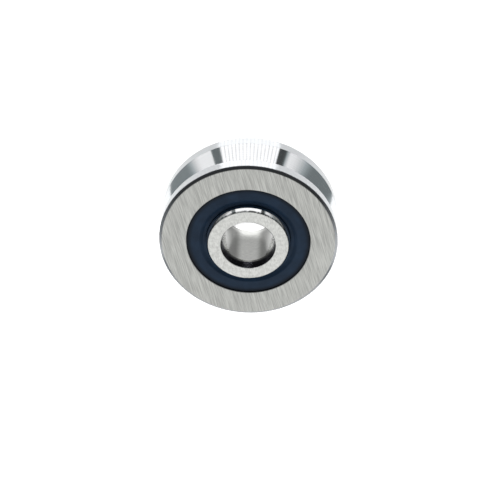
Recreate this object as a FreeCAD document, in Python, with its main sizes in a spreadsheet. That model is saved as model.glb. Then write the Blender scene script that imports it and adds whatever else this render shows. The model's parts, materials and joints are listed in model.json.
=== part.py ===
import FreeCAD, Part

# V groove track roller: a grooved wheel that is itself the outer ring of a sealed ball bearing
# with two rows of balls. Lengths are in millimetres and angles in degrees. +Z is the axis of
# rotation, towards the front face, and the origin is the centre of the bore, half way along it.
# "Front" pieces lie on the +Z side of the middle plane and "rear" pieces on the -Z side.

import os

import Sketcher
from FreeCAD import Placement, Rotation, Vector

SIZES = {
    # Inner ring, which is bolted through its bore and stays still
    "bore_diameter": 10.0,
    "bore_lead_in_width": 0.4,
    "bore_lead_in_length": 1.7,
    "bore_lead_in_blend_radius": 3.0,
    "bore_edge_radius": 0.15,
    "inner_width": 13.0,
    "inner_shoulder_height": 0.72,
    "seal_land_step": 0.82,
    "seal_land_bevel_width": 0.43,
    "seal_land_bevel_length": 0.78,
    "seal_land_edge_radius": 0.2,
    "seal_land_root_radius": 0.15,
    # Outer ring with the groove that runs on the rail
    "outer_diameter": 35.0,
    "outer_width": 11.0,
    "outer_bevel_width": 0.63,
    "outer_bevel_length": 0.35,
    "outer_bevel_edge_radius": 0.12,
    "groove_mouth_width": 6.2,
    "groove_angle": 110.0,
    "groove_root_radius": 0.4,
    "groove_edge_radius": 0.15,
    "outer_rib_height": 0.72,
    "outer_relief_height": 0.32,
    # Recess that holds a seal in the outer ring, one at each face
    "seal_seat_depth": 1.3,
    "seal_seat_width": 0.85,
    "seal_window_chamfer": 0.1,
    "seal_groove_depth": 0.25,
    "seal_groove_width": 0.5,
    # Moulded rubber seals
    "seal_bead_clearance": 0.02,
    "seal_bead_play": 0.05,
    "seal_edge_gap": 0.08,
    "seal_edge_radius": 0.08,
    "seal_recess": 0.3,
    "seal_step_width": 0.7,
    "seal_step_radius": 0.3,
    "lip_recess": 0.75,
    "lip_width": 0.62,
    "lip_clearance": 0.05,
    "lip_shoulder_gap": 0.25,
    # Balls and their raceways
    "ball_diameter": 3.175,
    "balls_per_row": 13,
    "pitch_diameter": 20.0,
    "contact_angle": 30.0,
    "race_extra_radius": 0.064,
    "running_clearance": 0.03,
    # Snap-in crown cages, one for each row of balls
    "cage_thickness": 1.5,
    "cage_seal_gap": 0.35,
    "cage_back_thickness": 0.43,
    "cage_pocket_clearance": 0.08,
    "cage_prong_reach": 0.8,
    "cage_notch_width": 0.55,
    "cage_notch_depth": 1.0,
}

# Every cutter reaches this far past the surface that it cuts, so that it leaves no skin.
OVERSHOOT = 1.0
FRONT = 1
REAR = -1
SIDES = (FRONT, REAR)

# Sizes that several pieces share, worked out from the sheet. Heights are above the middle plane.
OUTER_RADIUS = "sizes.outer_diameter / 2"
OUTER_HALF = "sizes.outer_width / 2"
INNER_HALF = "sizes.inner_width / 2"
GROOVE_TANGENT = "tan(sizes.groove_angle / 2)"
GROOVE_DEPTH = f"(sizes.groove_mouth_width / 2 / {GROOVE_TANGENT})"
PITCH_RADIUS = "sizes.pitch_diameter / 2"
BALL_RADIUS = "sizes.ball_diameter / 2"
POCKET_RADIUS = f"({BALL_RADIUS} + sizes.cage_pocket_clearance)"

# A seal rests on a step in the outer ring, the cage runs under it, and the balls under that.
SEAT_HEIGHT = "(sizes.outer_width / 2 - sizes.seal_seat_depth)"
CAGE_TOP = f"({SEAT_HEIGHT} - sizes.cage_seal_gap)"
ROW_HEIGHT = f"({CAGE_TOP} - sizes.cage_back_thickness - {POCKET_RADIUS})"
LAND_START = f"({SEAT_HEIGHT} - sizes.lip_shoulder_gap)"

# A raceway's section is a little rounder than the ball, and its centre is moved back from the ball's
# along the line of contact, so that the two are closest at the contact angle.
RACE_RADIUS = f"({BALL_RADIUS} + sizes.race_extra_radius)"
RACE_OFFSET = "(sizes.race_extra_radius - sizes.running_clearance)"
RACE_OFFSET_OUT = f"{RACE_OFFSET} * cos(sizes.contact_angle)"
RACE_OFFSET_UP = f"{RACE_OFFSET} * sin(sizes.contact_angle)"
INNER_RACE_CENTRE = f"({PITCH_RADIUS} + {RACE_OFFSET_OUT})"
OUTER_RACE_CENTRE = f"({PITCH_RADIUS} - {RACE_OFFSET_OUT})"
INNER_RACE_BOTTOM = f"({INNER_RACE_CENTRE} - {RACE_RADIUS})"
OUTER_RACE_BOTTOM = f"({OUTER_RACE_CENTRE} + {RACE_RADIUS})"

# Radii that step up from the raceways to the seal's lip on one side and its bead on the other
SHOULDER_RADIUS = f"({INNER_RACE_BOTTOM} + sizes.inner_shoulder_height)"
LAND_RADIUS = f"({SHOULDER_RADIUS} - sizes.seal_land_step)"
RIB_RADIUS = f"({OUTER_RACE_BOTTOM} - sizes.outer_rib_height)"
RELIEF_RADIUS = f"({OUTER_RACE_BOTTOM} - sizes.outer_relief_height)"
WINDOW_RADIUS = f"({RELIEF_RADIUS} + sizes.seal_seat_width)"
SEAT_RADIUS = f"({WINDOW_RADIUS} + sizes.seal_groove_depth)"
HALF_STEP = "180 / sizes.balls_per_row"

doc = FreeCAD.newDocument("v_groove_wheel")


def make_sheet():
    """Writes the driving sizes into a spreadsheet, each cell under its own alias."""
    made = doc.addObject("Spreadsheet::Sheet", "sizes")
    for row, (alias, value) in enumerate(SIZES.items(), start=1):
        made.set(f"A{row}", alias)
        made.set(f"B{row}", str(value))
        made.setAlias(f"B{row}", alias)
    doc.recompute()
    return made


sheet = make_sheet()


def value_of(expression):
    """The number that an expression of the sheet's sizes gives."""
    return float(sheet.evalExpression(expression))


def on_side(side, expression):
    """The same height on the front or on the rear side of the middle plane."""
    return expression if side == FRONT else f"-({expression})"


# Bodies and sketches


def new_body(name):
    body = doc.addObject("PartDesign::Body", name)
    body.Label = name
    return body


def origin_feature(body, role):
    for feature in body.Origin.OriginFeatures:
        if feature.Role == role:
            return feature
    raise ValueError(f"{body.Name} has no {role}")


def new_sketch(body, name, plane="XZ_Plane"):
    """A sketch on one of its body's origin planes. On XZ its x is the radius and its y is Z."""
    sketch = body.newObject("Sketcher::SketchObject", f"{body.Name}_{name}")
    sketch.AttachmentSupport = [(origin_feature(body, plane), "")]
    sketch.MapMode = "FlatFace"
    return sketch


def bind(sketch, kind, geometry, expression, point=None):
    """Adds a size constraint that follows an expression of the sheet."""
    value = value_of(expression)
    if point is None:
        constraint = Sketcher.Constraint(kind, geometry, value)
    else:
        constraint = Sketcher.Constraint(kind, -1, 1, geometry, point, value)
    index = sketch.addConstraint(constraint)
    sketch.setExpression(f"Constraints[{index}]", expression)


def add_polygon(sketch, corners):
    """A closed outline through corners, each a pair of expressions that hold it in place."""
    places = [Vector(value_of(across), value_of(up), 0) for across, up in corners]
    lines = []
    for start, end in zip(places, places[1:] + places[:1]):
        lines.append(sketch.addGeometry(Part.LineSegment(start, end), False))
    for line, following in zip(lines, lines[1:] + lines[:1]):
        sketch.addConstraint(Sketcher.Constraint("Coincident", line, 2, following, 1))
    for line, (across, up) in zip(lines, corners):
        bind(sketch, "DistanceX", line, across, point=1)
        bind(sketch, "DistanceY", line, up, point=1)


def add_circle(sketch, across, up, radius):
    centre = Vector(value_of(across), value_of(up), 0)
    circle = sketch.addGeometry(Part.Circle(centre, Vector(0, 0, 1), value_of(radius)), False)
    bind(sketch, "DistanceX", circle, across, point=3)
    bind(sketch, "DistanceY", circle, up, point=3)
    bind(sketch, "Radius", circle, radius)


def turn(body, kind, sketch):
    """Turns a sketch once round Z: a Revolution adds material and a Groove removes it."""
    feature = body.newObject(f"PartDesign::{kind}", f"{sketch.Name}_turned")
    feature.Profile = sketch
    feature.ReferenceAxis = (origin_feature(body, "Z_Axis"), [""])
    feature.Angle = 360.0
    sketch.Visibility = False
    before = 0.0 if kind == "Revolution" else body.Shape.Volume
    doc.recompute()
    if kind == "Groove" and not body.Shape.Volume < before:
        raise RuntimeError(f"{feature.Name} removes nothing")
    return feature


def ring_edges(shape, rings):
    """Names of the circular edges that lie at the given pairs of radius and height."""
    names = []
    for number, edge in enumerate(shape.Edges, start=1):
        if not isinstance(edge.Curve, Part.Circle):
            continue
        for radius, height in rings:
            near_radius = abs(edge.Curve.Radius - value_of(radius)) < 1e-4
            near_height = abs(edge.Curve.Center.z - value_of(height)) < 1e-4
            if near_radius and near_height:
                names.append(f"Edge{number}")
    if len(names) < len(rings):
        raise RuntimeError(f"found {len(names)} of {len(rings)} edges at {rings}")
    return names


def dress(body, kind, size, rings):
    """Rounds (Fillet) or bevels (Chamfer) the circular edges at the given rings."""
    base = body.Tip
    feature = body.newObject(f"PartDesign::{kind}", f"{body.Name}_{kind}_{size}")
    feature.Base = (base, ring_edges(base.Shape, rings))
    feature.setExpression("Radius" if kind == "Fillet" else "Size", f"sizes.{size}")
    doc.recompute()
    return feature


# The pieces


def make_outer_ring():
    """The wheel: groove, lands and bevels outside, two raceways with a rib between them inside."""
    body = new_body("outer_ring")
    face_edge = f"{OUTER_RADIUS} - sizes.outer_bevel_width"
    bevel_foot = f"{OUTER_HALF} - sizes.outer_bevel_length"

    blank = new_sketch(body, "blank")
    add_polygon(blank, [
        (RIB_RADIUS, f"-{OUTER_HALF}"),
        (face_edge, f"-{OUTER_HALF}"),
        (OUTER_RADIUS, f"-({bevel_foot})"),
        (OUTER_RADIUS, bevel_foot),
        (face_edge, OUTER_HALF),
        (RIB_RADIUS, OUTER_HALF),
    ])
    turn(body, "Revolution", blank)

    groove = new_sketch(body, "v_groove")
    mouth = f"sizes.groove_mouth_width / 2 + {OVERSHOOT} * {GROOVE_TANGENT}"
    root_radius = f"{OUTER_RADIUS} - {GROOVE_DEPTH}"
    add_polygon(groove, [
        (root_radius, "0"),
        (f"{OUTER_RADIUS} + {OVERSHOOT}", f"-({mouth})"),
        (f"{OUTER_RADIUS} + {OVERSHOOT}", mouth),
    ])
    turn(body, "Groove", groove)

    races = new_sketch(body, "raceways")
    for side in SIDES:
        up = on_side(side, f"{ROW_HEIGHT} + {RACE_OFFSET_UP}")
        add_circle(races, OUTER_RACE_CENTRE, up, RACE_RADIUS)
    turn(body, "Groove", races)

    seats = new_sketch(body, "seal_seats")
    inside = f"{RIB_RADIUS} - {OVERSHOOT}"
    groove_top = f"{SEAT_HEIGHT} + sizes.seal_groove_width"
    window_bottom = f"{groove_top} + sizes.seal_groove_depth"
    above = f"{OUTER_HALF} + {OVERSHOOT}"
    for side in SIDES:
        add_polygon(seats, [
            (inside, on_side(side, ROW_HEIGHT)),
            (RELIEF_RADIUS, on_side(side, ROW_HEIGHT)),
            (RELIEF_RADIUS, on_side(side, SEAT_HEIGHT)),
            (SEAT_RADIUS, on_side(side, SEAT_HEIGHT)),
            (SEAT_RADIUS, on_side(side, groove_top)),
            (WINDOW_RADIUS, on_side(side, window_bottom)),
            (WINDOW_RADIUS, on_side(side, above)),
            (inside, on_side(side, above)),
        ])
    turn(body, "Groove", seats)

    bevels = [(face_edge, on_side(side, OUTER_HALF)) for side in SIDES]
    bevels += [(OUTER_RADIUS, on_side(side, bevel_foot)) for side in SIDES]
    mouths = [(OUTER_RADIUS, on_side(side, "sizes.groove_mouth_width / 2")) for side in SIDES]
    windows = [(WINDOW_RADIUS, on_side(side, OUTER_HALF)) for side in SIDES]
    dress(body, "Fillet", "groove_root_radius", [(root_radius, "0")])
    dress(body, "Fillet", "groove_edge_radius", mouths)
    dress(body, "Fillet", "outer_bevel_edge_radius", bevels)
    dress(body, "Chamfer", "seal_window_chamfer", windows)
    return body


def make_inner_ring():
    """The fixed ring: wider than the wheel, with a bevelled land under each seal's lip and a bore
    that widens towards both faces, which leads the bolt in."""
    body = new_body("inner_ring")
    bore = "sizes.bore_diameter / 2"
    opening = f"{bore} + sizes.bore_lead_in_width"
    lead_in_end = f"{INNER_HALF} - sizes.bore_lead_in_length"
    land_edge = f"{LAND_RADIUS} - sizes.seal_land_bevel_width"
    bevel_foot = f"{INNER_HALF} - sizes.seal_land_bevel_length"

    blank = new_sketch(body, "blank")
    add_polygon(blank, [
        (bore, f"-{INNER_HALF}"),
        (SHOULDER_RADIUS, f"-{INNER_HALF}"),
        (SHOULDER_RADIUS, INNER_HALF),
        (bore, INNER_HALF),
    ])
    turn(body, "Revolution", blank)

    lands = new_sketch(body, "seal_lands")
    outside = f"{SHOULDER_RADIUS} + {OVERSHOOT}"
    above = f"{INNER_HALF} + {OVERSHOOT}"
    for side in SIDES:
        add_polygon(lands, [
            (LAND_RADIUS, on_side(side, LAND_START)),
            (outside, on_side(side, LAND_START)),
            (outside, on_side(side, above)),
            (land_edge, on_side(side, above)),
            (land_edge, on_side(side, INNER_HALF)),
            (LAND_RADIUS, on_side(side, bevel_foot)),
        ])
    turn(body, "Groove", lands)

    lead_ins = new_sketch(body, "bore_lead_ins")
    hollow = f"{bore} - {OVERSHOOT}"
    for side in SIDES:
        add_polygon(lead_ins, [
            (bore, on_side(side, lead_in_end)),
            (opening, on_side(side, INNER_HALF)),
            (opening, on_side(side, above)),
            (hollow, on_side(side, above)),
            (hollow, on_side(side, lead_in_end)),
        ])
    turn(body, "Groove", lead_ins)

    races = new_sketch(body, "raceways")
    for side in SIDES:
        up = on_side(side, f"{ROW_HEIGHT} - {RACE_OFFSET_UP}")
        add_circle(races, INNER_RACE_CENTRE, up, RACE_RADIUS)
    turn(body, "Groove", races)

    roots = [(LAND_RADIUS, on_side(side, LAND_START)) for side in SIDES]
    rims = [(land_edge, on_side(side, INNER_HALF)) for side in SIDES]
    throats = [(bore, on_side(side, lead_in_end)) for side in SIDES]
    mouths = [(opening, on_side(side, INNER_HALF)) for side in SIDES]
    dress(body, "Fillet", "seal_land_root_radius", roots)
    dress(body, "Fillet", "seal_land_edge_radius", rims)
    dress(body, "Fillet", "bore_lead_in_blend_radius", throats)
    dress(body, "Fillet", "bore_edge_radius", mouths)
    return body


def make_seal(name, side):
    """A rubber seal: its bead snaps into the wheel, its thin lip runs over the inner ring."""
    body = new_body(name)
    bead = f"{SEAT_RADIUS} - sizes.seal_bead_clearance"
    neck = f"{WINDOW_RADIUS} - sizes.seal_edge_gap"
    lip = f"{LAND_RADIUS} + sizes.lip_clearance"
    bead_top = f"{SEAT_HEIGHT} + sizes.seal_groove_width - sizes.seal_bead_play"
    neck_bottom = f"{bead_top} + ({bead}) - ({neck})"
    top = f"{OUTER_HALF} - sizes.seal_recess"
    lip_top = f"{OUTER_HALF} - sizes.lip_recess"
    step_inner = f"{lip} + sizes.lip_width"
    step_outer = f"{step_inner} + sizes.seal_step_width"

    profile = new_sketch(body, "profile")
    add_polygon(profile, [
        (lip, on_side(side, SEAT_HEIGHT)),
        (bead, on_side(side, SEAT_HEIGHT)),
        (bead, on_side(side, bead_top)),
        (neck, on_side(side, neck_bottom)),
        (neck, on_side(side, top)),
        (step_outer, on_side(side, top)),
        (step_inner, on_side(side, lip_top)),
        (lip, on_side(side, lip_top)),
    ])
    turn(body, "Revolution", profile)

    edges = [(neck, on_side(side, top)), (lip, on_side(side, lip_top))]
    steps = [(step_outer, on_side(side, top)), (step_inner, on_side(side, lip_top))]
    dress(body, "Fillet", "seal_step_radius", steps)
    dress(body, "Fillet", "seal_edge_radius", edges)
    return body


def make_cage(name, side):
    """A crown cage: a ring behind the balls, with a pair of prongs that snap round each ball."""
    body = new_body(name)
    inner = f"{PITCH_RADIUS} - sizes.cage_thickness / 2"
    outer = f"{PITCH_RADIUS} + sizes.cage_thickness / 2"
    tips = f"{ROW_HEIGHT} - sizes.cage_prong_reach"

    ring = new_sketch(body, "ring")
    add_polygon(ring, [
        (inner, on_side(side, tips)),
        (outer, on_side(side, tips)),
        (outer, on_side(side, CAGE_TOP)),
        (inner, on_side(side, CAGE_TOP)),
    ])
    turn(body, "Revolution", ring)

    pocket = body.newObject("PartDesign::SubtractiveSphere", f"{name}_pocket")
    pocket.AttachmentSupport = [(origin_feature(body, "XY_Plane"), "")]
    pocket.MapMode = "FlatFace"
    pocket.setExpression("Radius", POCKET_RADIUS)
    pocket.setExpression("AttachmentOffset.Base.x", PITCH_RADIUS)
    pocket.setExpression("AttachmentOffset.Base.z", on_side(side, ROW_HEIGHT))
    repeat(body, pocket)

    notch = notch_sketch(body, side, tips)
    cut = body.newObject("PartDesign::Pocket", f"{name}_notch_cut")
    cut.Profile = notch
    cut.Reversed = True
    cut.setExpression("Length", f"{outer} + {OVERSHOOT}")
    repeat(body, cut)
    return body


def notch_sketch(body, side, tips):
    """A round-ended slot between two pockets, seen from the axis, that frees their prongs."""
    sketch = new_sketch(body, "notch", plane="YZ_Plane")
    half_step = Rotation(Vector(0, 1, 0), value_of(HALF_STEP))
    sketch.AttachmentOffset = Placement(Vector(0, 0, 0), half_step)
    sketch.setExpression("AttachmentOffset.Rotation.Angle", HALF_STEP)
    half_width = "sizes.cage_notch_width / 2"
    mouth = on_side(side, f"{tips} - {OVERSHOOT}")
    bottom = on_side(side, f"{tips} + sizes.cage_notch_depth - {half_width}")

    radius = value_of(half_width)
    left_mouth = Vector(-radius, value_of(mouth), 0)
    right_mouth = Vector(radius, value_of(mouth), 0)
    left_bottom = Vector(-radius, value_of(bottom), 0)
    right_bottom = Vector(radius, value_of(bottom), 0)
    crown = Vector(0, value_of(bottom) + side * radius, 0)
    lines = [
        Part.LineSegment(left_mouth, right_mouth),
        Part.LineSegment(right_mouth, right_bottom),
        Part.LineSegment(left_bottom, left_mouth),
    ]
    base, right, left = [sketch.addGeometry(line, False) for line in lines]
    arc = sketch.addGeometry(Part.Arc(right_bottom, crown, left_bottom), False)
    # The arc runs anticlockwise, so its ends change places between front and rear.
    right_end, left_end = (1, 2) if side == FRONT else (2, 1)
    sketch.addConstraint(Sketcher.Constraint("Coincident", base, 2, right, 1))
    sketch.addConstraint(Sketcher.Constraint("Coincident", left, 2, base, 1))
    sketch.addConstraint(Sketcher.Constraint("Coincident", right, 2, arc, right_end))
    sketch.addConstraint(Sketcher.Constraint("Coincident", left, 1, arc, left_end))
    bind(sketch, "DistanceX", base, f"-{half_width}", point=1)
    bind(sketch, "DistanceY", base, mouth, point=1)
    bind(sketch, "DistanceX", base, half_width, point=2)
    bind(sketch, "DistanceY", base, mouth, point=2)
    bind(sketch, "DistanceX", arc, "0", point=3)
    bind(sketch, "DistanceY", arc, bottom, point=3)
    bind(sketch, "DistanceX", right, half_width, point=2)
    bind(sketch, "DistanceY", right, bottom, point=2)
    bind(sketch, "DistanceY", left, bottom, point=1)
    return sketch


def repeat(body, feature):
    """Repeats a cut round Z, once for each ball of the row."""
    before = body.Shape.Volume
    pattern = body.newObject("PartDesign::PolarPattern", f"{feature.Name}_pattern")
    pattern.Originals = [feature]
    pattern.Axis = (origin_feature(body, "Z_Axis"), [""])
    pattern.Angle = 360.0
    pattern.setExpression("Occurrences", "sizes.balls_per_row")
    body.Tip = pattern
    doc.recompute()
    if not body.Shape.Volume < before:
        raise RuntimeError(f"{pattern.Name} removes nothing")


def make_balls(row_name, side, first_angle):
    """One row of balls, evenly spaced on the pitch circle from first_angle on."""
    balls = []
    for number in range(SIZES["balls_per_row"]):
        ball = doc.addObject("Part::Sphere", f"ball_{row_name}_{number + 1:02d}")
        ball.Label = ball.Name
        angle = f"({first_angle} + {number} * 360 / sizes.balls_per_row)"
        ball.setExpression("Radius", BALL_RADIUS)
        ball.setExpression("Placement.Base.x", f"{PITCH_RADIUS} * cos({angle})")
        ball.setExpression("Placement.Base.y", f"{PITCH_RADIUS} * sin({angle})")
        ball.setExpression("Placement.Base.z", on_side(side, ROW_HEIGHT))
        balls.append(ball)
    doc.recompute()
    return balls


def make_pieces():
    """Every piece of the wheel. The rear row stands half a ball step round from the front."""
    pieces = [
        make_outer_ring(),
        make_inner_ring(),
        make_seal("front_seal", FRONT),
        make_seal("rear_seal", REAR),
        make_cage("front_cage", FRONT),
    ]
    rear_cage = make_cage("rear_cage", REAR)
    rear_cage.Placement = Placement(Vector(0, 0, 0), Rotation(Vector(0, 0, 1), value_of(HALF_STEP)))
    rear_cage.setExpression("Placement.Rotation.Angle", HALF_STEP)
    pieces.append(rear_cage)
    pieces += make_balls("front", FRONT, "0")
    pieces += make_balls("rear", REAR, HALF_STEP)
    doc.recompute()
    return pieces


def check(pieces):
    """Stops the build if any feature failed or any piece isn't one valid solid."""
    for item in doc.Objects:
        if "Invalid" in item.State or "Error" in item.State:
            raise RuntimeError(f"{item.Name} failed: {item.State}")
    for piece in pieces:
        if piece.Shape.isNull() or not piece.Shape.isValid() or len(piece.Shape.Solids) != 1:
            raise RuntimeError(f"{piece.Label} isn't one valid solid")


def write(pieces):
    os.makedirs("parts", exist_ok=True)
    for piece in pieces:
        piece.Shape.exportStep(os.path.join("parts", f"{piece.Label}.step"))
        print(f"{piece.Label}: {piece.Shape.Volume:.3f} mm3")


pieces = make_pieces()
check(pieces)
write(pieces)
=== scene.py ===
import json
import math
from functools import cached_property
import bpy
from mathutils import Matrix, Vector


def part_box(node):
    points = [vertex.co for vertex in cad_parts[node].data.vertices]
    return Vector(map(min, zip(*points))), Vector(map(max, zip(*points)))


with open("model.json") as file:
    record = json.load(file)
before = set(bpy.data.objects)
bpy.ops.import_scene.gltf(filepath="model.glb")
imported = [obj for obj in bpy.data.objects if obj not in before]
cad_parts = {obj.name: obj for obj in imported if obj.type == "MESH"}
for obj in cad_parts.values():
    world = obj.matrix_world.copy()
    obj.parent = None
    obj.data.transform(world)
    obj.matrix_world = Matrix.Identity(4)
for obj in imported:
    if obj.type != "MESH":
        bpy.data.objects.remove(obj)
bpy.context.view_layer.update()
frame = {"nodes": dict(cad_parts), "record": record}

# Units
MM = 1000.0
MICRON = 0.000001

# Sizes read from the frame
OUTER_DIAMETER = 2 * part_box("outer_ring")[1].x
OUTER_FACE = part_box("outer_ring")[1].z
INNER_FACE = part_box("inner_ring")[1].z
SEAL_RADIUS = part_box("front_seal")[1].x
FLOOR_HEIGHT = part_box("inner_ring")[0].z

# Sizes that the boxes don't show
GROOVE_HALF_MOUTH = 0.0031
GROOVE_BOTTOM_RADIUS = 0.01542
BORE_RADIUS = 0.005
LEAD_IN_DEPTH = 0.0017

# A circle on the inner ring's end face, just outside the bore's wide end
OPENING_RADIUS = 0.0055

# Widths over which one finish passes into the next
FADE = 0.0001
FINE_FADE = 0.00004

# How far the mottled edge reaches below the inner ring's end face
EDGE_DEPTH = 0.0003

# How far inside the seal's edge its painted shade starts and ends
SHADE_START = 0.00145
SHADE_END = 0.00035

# The direction of the ground faces' grain, from the X axis
GRAIN_ANGLE = math.radians(-75.6)

# The number of chatter marks round the rim, and the azimuths to either side of +Y between which they fade
CHATTER_MARKS = 148
CHATTER_FADE = (17.5, 22.5)

# The angles from the X axis between which the bore's painted reflection goes from dark to light
BORE_REFLECTION_FADE = (56.0, 76.0)

# Base colours of the pieces
GROUND_STEEL = (0.60, 0.605, 0.575)
GROOVE_STEEL = (0.76, 0.765, 0.775)
RIM_STEEL = (0.45, 0.46, 0.47)
FINE_GROUND_STEEL = (0.86, 0.865, 0.83)
LAND_STEEL = (0.78, 0.78, 0.78)
BORE_STEEL = (0.66, 0.665, 0.645)
# The lead-in's near-black colour is painted shade, not the steel's own colour.
LEAD_IN_PAINTED_SHADE = (0.08, 0.08, 0.1)
BALL_STEEL = (0.82, 0.83, 0.85)
NAVY_RUBBER = (0.022, 0.052, 0.102)
POLYAMIDE = (0.80, 0.74, 0.60)

# Base colours of the floor and the reflector
PALE_PAPER = (0.9, 0.9, 0.9)
DARK_CARD = (0.02, 0.02, 0.02)

# The floor, whose glow is stronger under the bore
FLOOR_HALF = 4.0
FLOOR_GLOW = 0.24
BORE_FLOOR_GLOW = 0.5
FLOOR_GLOW_COLOUR = (1.0, 1.0, 1.0, 1.0)

# The reflector, a low wall round the wheel. Its glow goes to each step's level between that step's azimuths
WALL_RADIUS = 0.042
WALL_TOP = 0.009
WALL_SIDES = 180
WALL_GLOW = 0.85
WALL_STEPS = (
    (-116.0, -107.0, 0.26),
    (-62.5, -45.5, 1.06),
    (-35.3, -34.5, 0.16),
    (-27.4, -26.6, 1.36),
    (24.7, 25.5, 0.04),
    (30.8, 36.7, 1.0),
    (37.0, 61.5, 0.2),
    (84.0, 106.0, 0.85),
)
DIM_WALL_COLOUR = (0.84, 0.97, 1.0, 1.0)
BRIGHT_WALL_COLOUR = (0.99, 0.995, 1.0, 1.0)

# The room's glow by elevation, in the same way: bright low down, dark higher up, pale overhead
ROOM_GLOW = 0.35
ROOM_STEPS = (
    (25.0, 44.0, 0.06),
    (76.0, 84.0, 0.4),
)
ROOM_COLOUR = (0.9, 0.95, 1.0, 1.0)

# Lamps that face the wheel, placed by azimuth and elevation
LAMP_DISTANCE = 0.6
SOFTBOX_DIRECTION = (180.0, 50.0)
SOFTBOX_WIDTH = 1.4
SOFTBOX_HEIGHT = 0.7
SOFTBOX_RADIANCE = 0.75
SUN_DIRECTION = (0.0, 56.0)
SUN_ENERGY = 3.2
SUN_SPREAD = math.radians(5.0)

# The spot, straight above the square of floor that the rim reflects to the camera
SPOT_X = -0.0003
SPOT_Y = 0.024
SPOT_HEIGHT = 0.2
SPOT_HALF_WIDTH = 0.0097
SPOT_BLEND = 0.05
SPOT_RADIUS = 0.0005
SPOT_ENERGY = 1.6

# Camera, fitted to the outlines of the rings in the photograph. The wheel's centre lies at the centre pixel
IMAGE_SIZE = 500
SENSOR_WIDTH = 36.0
CAMERA_TILT = math.radians(34.949)
CAMERA_TURN = math.radians(1.81)
CAMERA_DISTANCE = 8.918 * OUTER_DIAMETER
PIXELS_PER_DIAMETER = 176.358
CENTRE_PIXEL = (248.655, 226.35)
NEAREST_SEEN = 0.01
FARTHEST_SEEN = 20.0


class Graph:
    """A node tree, with short ways to add nodes to it."""

    def __init__(self, tree):
        self.tree = tree

    def node(self, kind, **settings):
        node = self.tree.nodes.new("ShaderNode" + kind)
        for name, setting in settings.items():
            setattr(node, name, setting)
        return node

    def put(self, socket, value):
        """Links value to a node's socket, or sets it there."""
        if isinstance(value, bpy.types.NodeSocket):
            self.tree.links.new(value, socket)
        else:
            socket.default_value = value

    def fill(self, node, *values):
        """Puts the values on the node's first sockets in turn, and returns its first output."""
        for socket, value in zip(node.inputs, values):
            self.put(socket, value)
        return node.outputs[0]

    def maths(self, operation, *values):
        return self.fill(self.node("Math", operation=operation), *values)

    def times(self, first, second):
        return self.maths("MULTIPLY", first, second)

    def stretch(self, vector, scale):
        """A vector scaled along each axis."""
        return self.fill(self.node("VectorMath", operation="MULTIPLY"), vector, scale)

    def tint(self, colour, factor):
        """A colour times a number."""
        node = self.node("VectorMath", operation="SCALE")
        self.put(node.inputs["Vector"], colour)
        self.put(node.inputs["Scale"], factor)
        return node.outputs[0]

    def split(self, vector):
        """A vector's X, Y and Z."""
        node = self.node("SeparateXYZ")
        self.fill(node, vector)
        return tuple(node.outputs)

    def noise(self, place, scale=1.0, detail=3.0, roughness=0.55):
        node = self.node("TexNoise")
        self.put(node.inputs["Vector"], place)
        self.put(node.inputs["Scale"], scale)
        self.put(node.inputs["Detail"], detail)
        self.put(node.inputs["Roughness"], roughness)
        return node.outputs["Fac"]

    def ease(self, value, start, end, low=0.0, high=1.0):
        """Low below start, high above end, and smooth between them."""
        return self.fill(self.node("MapRange", interpolation_type="SMOOTHSTEP"), value, start, end, low, high)

    def vary(self, noise, low, high, reach=0.2):
        """From low to high as a noise goes from reach below its middle to reach above."""
        return self.ease(noise, 0.5 - reach, 0.5 + reach, low, high)

    def climb(self, value, level, steps):
        """The level, then that of each step in turn, as value goes from the step's start to its end."""
        for start, end, goal in steps:
            level = self.ease(value, start, end, level, goal)
        return level

    def mix(self, share, low, high):
        """A colour between low and high."""
        node = self.node("Mix", data_type="RGBA")
        self.put(node.inputs["Factor"], share)
        self.put(node.inputs[6], low)
        self.put(node.inputs[7], high)
        return node.outputs[2]

    def blend(self, share, low, high):
        """A number between low and high."""
        node = self.node("Mix", data_type="FLOAT")
        self.put(node.inputs["Factor"], share)
        self.put(node.inputs[2], low)
        self.put(node.inputs[3], high)
        return node.outputs[0]

    def bump(self, height, distance):
        node = self.node("Bump")
        self.put(node.inputs["Distance"], distance)
        self.put(node.inputs["Height"], height)
        return node.outputs[0]


class Finish(Graph):
    """A procedural material's nodes. Its places are in millimetres, in its piece's own frame."""

    def __init__(self, name, **constants):
        self.material = bpy.data.materials.new(name)
        self.material.use_nodes = True
        super().__init__(self.material.node_tree)
        self.shader = self.tree.nodes["Principled BSDF"]
        self.feed(**constants)
        self.place = self.stretch(self.node("TexCoord").outputs["Object"], (MM, MM, MM))

    def feed(self, **values):
        """Puts values on the shader's sockets, with _ in a name for a space, and returns the material."""
        for name, value in values.items():
            self.put(self.shader.inputs[name.replace("_", " ")], value)
        return self.material

    @cached_property
    def axes(self):
        return self.split(self.place)

    @cached_property
    def radius(self):
        """The distance from the wheel's axis."""
        x, y, _ = self.axes
        return self.maths("SQRT", self.maths("ADD", self.times(x, x), self.times(y, y)))

    @cached_property
    def height(self):
        """The distance from the wheel's middle plane, to either side."""
        return self.maths("ABSOLUTE", self.axes[2])

    @cached_property
    def azimuth(self):
        x, y, _ = self.axes
        return self.times(self.maths("ARCTAN2", x, y), 180 / math.pi)

    @cached_property
    def aside(self):
        """The angle from +Y, to either side."""
        return self.maths("ABSOLUTE", self.azimuth)

    def along_grain(self, along, across):
        """The place in axes along and across the ground faces' grain, scaled along each of them."""
        turn = self.node("VectorRotate", rotation_type="Z_AXIS")
        self.put(turn.inputs["Vector"], self.place)
        self.put(turn.inputs["Angle"], -GRAIN_ANGLE)
        return self.stretch(turn.outputs[0], (along, across, 0.0))


def end_faces(graph, face_height):
    """1 on a ring's two end faces, and 0 elsewhere."""
    return graph.ease(graph.height, (face_height - 2 * FINE_FADE) * MM, (face_height - FINE_FADE) * MM)


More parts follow.
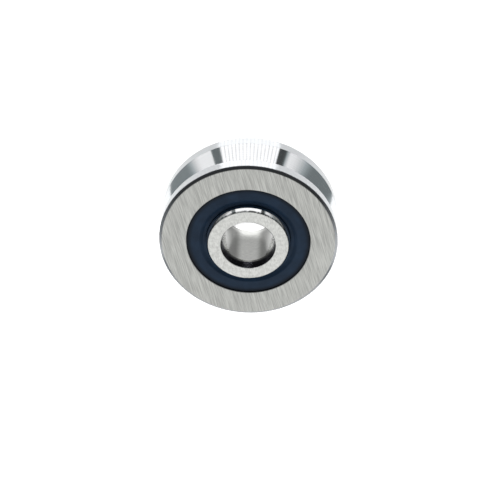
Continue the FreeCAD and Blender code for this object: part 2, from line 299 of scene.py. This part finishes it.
def straight_grain(graph):
    """The surface grinder's parallel scratches: fine ones and a few wide ones, from 0 to 1."""
    fine = graph.noise(graph.along_grain(0.2, 4.8), roughness=0.6)
    broad = graph.noise(graph.along_grain(0.07, 1.1), detail=2.0)
    return graph.blend(0.2, fine, broad)


def chatter_lines(graph, chatter):
    """The dark lines of the chatter, uneven, and strong only towards +Y."""
    patchy = graph.noise(graph.stretch(graph.place, (0.7, 0.7, 0.25)), detail=2.0)
    uneven = graph.times(graph.ease(chatter, 0.0, 1.0), graph.ease(patchy, 0.35, 0.6, 0.55, 1.0))
    return graph.times(uneven, graph.ease(graph.aside, *CHATTER_FADE, 1.0, 0.05))


def outer_ring_steel():
    """Ground end faces with a straight grain, a V groove ground to a shine, and a turned rim beside it."""
    graph = Finish("ground_ring_steel", Metallic=1.0)
    face = end_faces(graph, OUTER_FACE)
    within_mouth = graph.ease(graph.height, (GROOVE_HALF_MOUTH - FADE) * MM, GROOVE_HALF_MOUTH * MM, 1.0, 0.0)
    past_bottom = graph.ease(graph.radius, (GROOVE_BOTTOM_RADIUS - 3 * FADE) * MM,
                             (GROOVE_BOTTOM_RADIUS - FADE) * MM)
    groove = graph.times(within_mouth, past_bottom)
    grain = straight_grain(graph)
    rings = graph.noise(graph.stretch(graph.place, (0.0, 0.0, 9.0)), detail=4.0, roughness=0.7)
    chatter = graph.maths("SINE", graph.times(graph.azimuth, CHATTER_MARKS * math.pi / 180))
    lines = chatter_lines(graph, chatter)
    groove_tone = graph.times(graph.vary(rings, 0.9, 1.04, reach=0.15), graph.blend(lines, 1.0, 0.74))
    rim_tone = graph.times(graph.vary(rings, 0.87, 1.05, reach=0.15), graph.blend(lines, 1.0, 0.88))
    face_tone = graph.vary(grain, 0.78, 1.18, reach=0.16)
    turned_colour = graph.mix(groove, graph.tint(RIM_STEEL, rim_tone), graph.tint(GROOVE_STEEL, groove_tone))
    colour = graph.mix(face, turned_colour, graph.tint(GROUND_STEEL, face_tone))
    turned_roughness = graph.blend(groove, graph.vary(rings, 0.12, 0.18), graph.vary(rings, 0.06, 0.1))
    roughness = graph.blend(face, turned_roughness, graph.vary(grain, 0.36, 0.28))
    turned_relief = graph.blend(groove, rings, graph.blend(0.5, chatter, rings))
    relief = graph.bump(graph.blend(face, turned_relief, grain), 0.6 * MICRON)
    return graph.feed(Base_Color=colour, Roughness=roughness, Normal=relief)


def inner_ring_steel():
    """Finely ground end faces, a land with a mottled edge, and a honed bore with a painted reflection,
    lighter towards ±Y than at its sides, and painted shade at its front end.
    """
    graph = Finish("honed_ring_steel", Metallic=1.0)
    face = end_faces(graph, INNER_FACE)
    bore = graph.ease(graph.radius, OPENING_RADIUS * MM, (OPENING_RADIUS + FADE) * MM, 1.0, 0.0)
    edge_start = INNER_FACE - EDGE_DEPTH
    edge = graph.ease(graph.height, (edge_start - FINE_FADE) * MM, (edge_start + FINE_FADE) * MM)
    # Painted shade: the front end of the bore is painted near black, the back end is not.
    lead_in_start = INNER_FACE - LEAD_IN_DEPTH
    lead_in = graph.ease(graph.axes[2], lead_in_start * MM, (lead_in_start + 2 * FADE) * MM)
    mottle = graph.noise(graph.place, scale=1.4, detail=4.0, roughness=0.6)
    ground = graph.blend(0.5, mottle, graph.noise(graph.along_grain(0.8, 8.0)))
    honing = graph.noise(graph.stretch(graph.place, (1.2, 1.2, 7.0)))
    # Painted reflection and shade: the bore's steel is painted lighter towards ±Y and darker towards ±X.
    from_side = graph.maths("ABSOLUTE", graph.maths("SUBTRACT", graph.aside, 90.0))
    painted_bore_reflection = graph.ease(from_side, *BORE_REFLECTION_FADE, 0.42, 1.0)
    bore_colour = graph.tint(BORE_STEEL, graph.times(painted_bore_reflection, graph.vary(honing, 0.9, 1.06)))
    lead_in_shade_colour = graph.tint(LEAD_IN_PAINTED_SHADE, graph.vary(honing, 0.8, 1.2))
    land_colour = graph.tint(LAND_STEEL, graph.vary(honing, 0.92, 1.04))
    side_colour = graph.tint(land_colour, graph.blend(edge, 1.0, graph.vary(mottle, 0.1, 0.7, reach=0.1)))
    hollow_colour = graph.mix(lead_in, bore_colour, lead_in_shade_colour)
    face_colour = graph.tint(FINE_GROUND_STEEL, graph.vary(ground, 0.79, 1.09, reach=0.15))
    colour = graph.mix(face, graph.mix(bore, side_colour, hollow_colour), face_colour)
    roughness = graph.blend(face, graph.vary(honing, 0.07, 0.12), graph.vary(ground, 0.34, 0.28))
    relief = graph.bump(graph.blend(face, honing, ground), 0.5 * MICRON)
    return graph.feed(Base_Color=colour, Roughness=roughness, Normal=relief)


def seal_rubber():
    """Moulded nitrile rubber, dark navy with a soft sheen, and with painted shade darkening it towards its
    edge.
    """
    graph = Finish("navy_nitrile_rubber", Specular_IOR_Level=0.2)
    cloud = graph.noise(graph.place, scale=0.35, detail=2.0)
    skin = graph.noise(graph.place, scale=14.0)
    # Painted shade: the rubber is painted darker towards its edge, where it meets the outer ring.
    shade_start = (SEAL_RADIUS - SHADE_START) * MM
    shade_end = (SEAL_RADIUS - SHADE_END) * MM
    shade = graph.ease(graph.radius, shade_start, shade_end, 1.0, 0.25)
    colour = graph.tint(NAVY_RUBBER, graph.times(shade, graph.vary(cloud, 0.85, 1.15)))
    relief = graph.bump(skin, MICRON)
    return graph.feed(Base_Color=colour, Roughness=graph.vary(skin, 0.4, 0.5), Normal=relief)


def cage_plastic():
    """Moulded natural polyamide, slightly clouded."""
    graph = Finish("natural_polyamide", Subsurface_Weight=0.1, Subsurface_Scale=0.001)
    cloud = graph.noise(graph.place, scale=0.6)
    skin = graph.noise(graph.place, scale=9.0)
    colour = graph.tint(POLYAMIDE, graph.vary(cloud, 0.92, 1.05))
    relief = graph.bump(skin, 1.5 * MICRON)
    return graph.feed(Base_Color=colour, Roughness=graph.vary(skin, 0.42, 0.55), Normal=relief)


def ball_steel():
    """Polished chrome steel."""
    graph = Finish("polished_ball_steel", Metallic=1.0)
    haze = graph.noise(graph.place, scale=3.0, detail=4.0)
    colour = graph.tint(BALL_STEEL, graph.vary(haze, 0.97, 1.02))
    return graph.feed(Base_Color=colour, Roughness=graph.vary(haze, 0.05, 0.1))


def faint_cloud(graph, colour, low):
    """A plain surface's colour, very slightly clouded."""
    return graph.tint(colour, graph.vary(graph.noise(graph.place, scale=0.05, detail=2.0), low, 1.0))


def dress_wheel():
    """Every CAD node wears the material of its slot in the record."""
    finishes = {
        "ring_steel": outer_ring_steel(),
        "inner_ring_steel": inner_ring_steel(),
        "seal_rubber": seal_rubber(),
        "cage_plastic": cage_plastic(),
        "ball_steel": ball_steel(),
    }
    for row in frame["record"]["subparts"]:
        for slot in frame["nodes"][row["node"]].material_slots:
            slot.material = finishes[row["material_slot"]]


def add(name, data):
    """A new object in the scene."""
    thing = bpy.data.objects.new(name, data)
    bpy.context.scene.collection.objects.link(thing)
    return thing


def add_mesh(name, places, faces):
    mesh = bpy.data.meshes.new(name)
    mesh.from_pydata(places, [], faces)
    return add(name, mesh)


def make_floor():
    """A plain pale floor that the wheel lies on, and that glows a little."""
    signs = ((-1, -1), (1, -1), (1, 1), (-1, 1))
    corners = [(x * FLOOR_HALF, y * FLOOR_HALF, FLOOR_HEIGHT) for x, y in signs]
    floor = add_mesh("floor", corners, [(0, 1, 2, 3)])
    graph = Finish("pale_floor", Roughness=0.9, Emission_Color=FLOOR_GLOW_COLOUR)
    glow = graph.ease(graph.radius, BORE_RADIUS * MM, OPENING_RADIUS * MM, BORE_FLOOR_GLOW, FLOOR_GLOW)
    colour = faint_cloud(graph, PALE_PAPER, 0.99)
    floor.data.materials.append(graph.feed(Base_Color=colour, Emission_Strength=glow))
    return floor


def make_reflector():
    """A low glowing wall round the wheel, which only its reflections show: bright, with darker stretches."""
    turns = [math.tau * side / WALL_SIDES for side in range(WALL_SIDES)]
    places = [(WALL_RADIUS * math.sin(turn), WALL_RADIUS * math.cos(turn), z)
              for z in (FLOOR_HEIGHT, WALL_TOP) for turn in turns]
    pairs = [(side, (side + 1) % WALL_SIDES) for side in range(WALL_SIDES)]
    wall = add_mesh("reflector", places, [(a, b, WALL_SIDES + b, WALL_SIDES + a) for a, b in pairs])
    wall.visible_camera = False
    wall.visible_shadow = False
    graph = Finish("glowing_card", Roughness=0.9)
    glow = graph.climb(graph.azimuth, WALL_GLOW, WALL_STEPS)
    glow_colour = graph.mix(graph.ease(glow, 0.2, 0.9), DIM_WALL_COLOUR, BRIGHT_WALL_COLOUR)
    colour = faint_cloud(graph, DARK_CARD, 0.98)
    card = graph.feed(Base_Color=colour, Emission_Strength=glow, Emission_Color=glow_colour)
    wall.data.materials.append(card)


def hang(name, light, azimuth, elevation):
    """Puts a lamp where it faces the wheel."""
    turn = math.radians(azimuth)
    rise = math.radians(elevation)
    away = Vector((math.sin(turn) * math.cos(rise), math.cos(turn) * math.cos(rise), math.sin(rise)))
    lamp = add(name, light)
    lamp.location = away * LAMP_DISTANCE
    lamp.rotation_mode = "QUATERNION"
    lamp.rotation_quaternion = away.to_track_quat("Z", "Y")
    lamp.visible_camera = False
    return lamp


def light_wheel():
    """A softbox behind the wheel."""
    light = bpy.data.lights.new("back_softbox", "AREA")
    light.shape = "RECTANGLE"
    light.size = SOFTBOX_WIDTH
    light.size_y = SOFTBOX_HEIGHT
    light.energy = SOFTBOX_RADIANCE * math.pi * SOFTBOX_WIDTH * SOFTBOX_HEIGHT
    hang("back_softbox", light, *SOFTBOX_DIRECTION)


def light_floor(floor):
    """A sun and a spot that light the floor alone."""
    floor_only = bpy.data.collections.new("floor_only")
    floor_only.objects.link(floor)
    sun = bpy.data.lights.new("floor_light", "SUN")
    sun.energy = SUN_ENERGY
    sun.angle = SUN_SPREAD
    hang("floor_light", sun, *SUN_DIRECTION).light_linking.receiver_collection = floor_only
    spot = bpy.data.lights.new("front_spot", "SPOT")
    spot.energy = SPOT_ENERGY
    spot.spot_size = 2 * math.atan(SPOT_HALF_WIDTH / SPOT_HEIGHT)
    spot.spot_blend = SPOT_BLEND
    spot.use_square = True
    spot.shadow_soft_size = SPOT_RADIUS
    lamp = add("front_spot", spot)
    lamp.location = (SPOT_X, SPOT_Y, FLOOR_HEIGHT + SPOT_HEIGHT)
    lamp.light_linking.receiver_collection = floor_only


def make_room():
    """A pale room that glows by elevation, and that the camera itself sees bright all over."""
    world = bpy.data.worlds.new("studio")
    world.use_nodes = True
    graph = Graph(world.node_tree)
    rise = graph.split(graph.node("TexCoord").outputs["Generated"])[2]
    steps = [(math.sin(math.radians(start)), math.sin(math.radians(end)), level)
             for start, end, level in ROOM_STEPS]
    glow = graph.climb(rise, ROOM_GLOW, steps)
    seen = graph.node("LightPath").outputs["Is Camera Ray"]
    background = graph.tree.nodes["Background"]
    graph.put(background.inputs["Color"], ROOM_COLOUR)
    graph.put(background.inputs["Strength"], graph.blend(seen, glow, 1.0))
    bpy.context.scene.world = world


def make_camera():
    """The camera, at the photograph's viewing angle."""
    right = Vector((math.cos(CAMERA_TURN), 0.0, -math.sin(CAMERA_TURN)))
    down = Vector((math.sin(CAMERA_TURN) * math.sin(CAMERA_TILT), -math.cos(CAMERA_TILT),
                   math.cos(CAMERA_TURN) * math.sin(CAMERA_TILT)))
    forward = right.cross(down)
    middle = (IMAGE_SIZE - 1) / 2
    across, below = ((pixel - middle) / PIXELS_PER_DIAMETER * OUTER_DIAMETER for pixel in CENTRE_PIXEL)
    data = bpy.data.cameras.new("camera")
    data.sensor_width = SENSOR_WIDTH
    data.lens = PIXELS_PER_DIAMETER * CAMERA_DISTANCE / OUTER_DIAMETER / IMAGE_SIZE * SENSOR_WIDTH
    data.clip_start = NEAREST_SEEN
    data.clip_end = FARTHEST_SEEN
    camera = add("camera", data)
    axes = Matrix((right, -down, -forward)).transposed()
    place = -(right * across + down * below + forward * CAMERA_DISTANCE)
    camera.matrix_world = Matrix.Translation(place) @ axes.to_4x4()
    bpy.context.scene.camera = camera


dress_wheel()
pale_floor = make_floor()
light_wheel()
light_floor(pale_floor)
make_room()
make_reflector()
make_camera()
bpy.context.scene.view_settings.view_transform = "Standard"
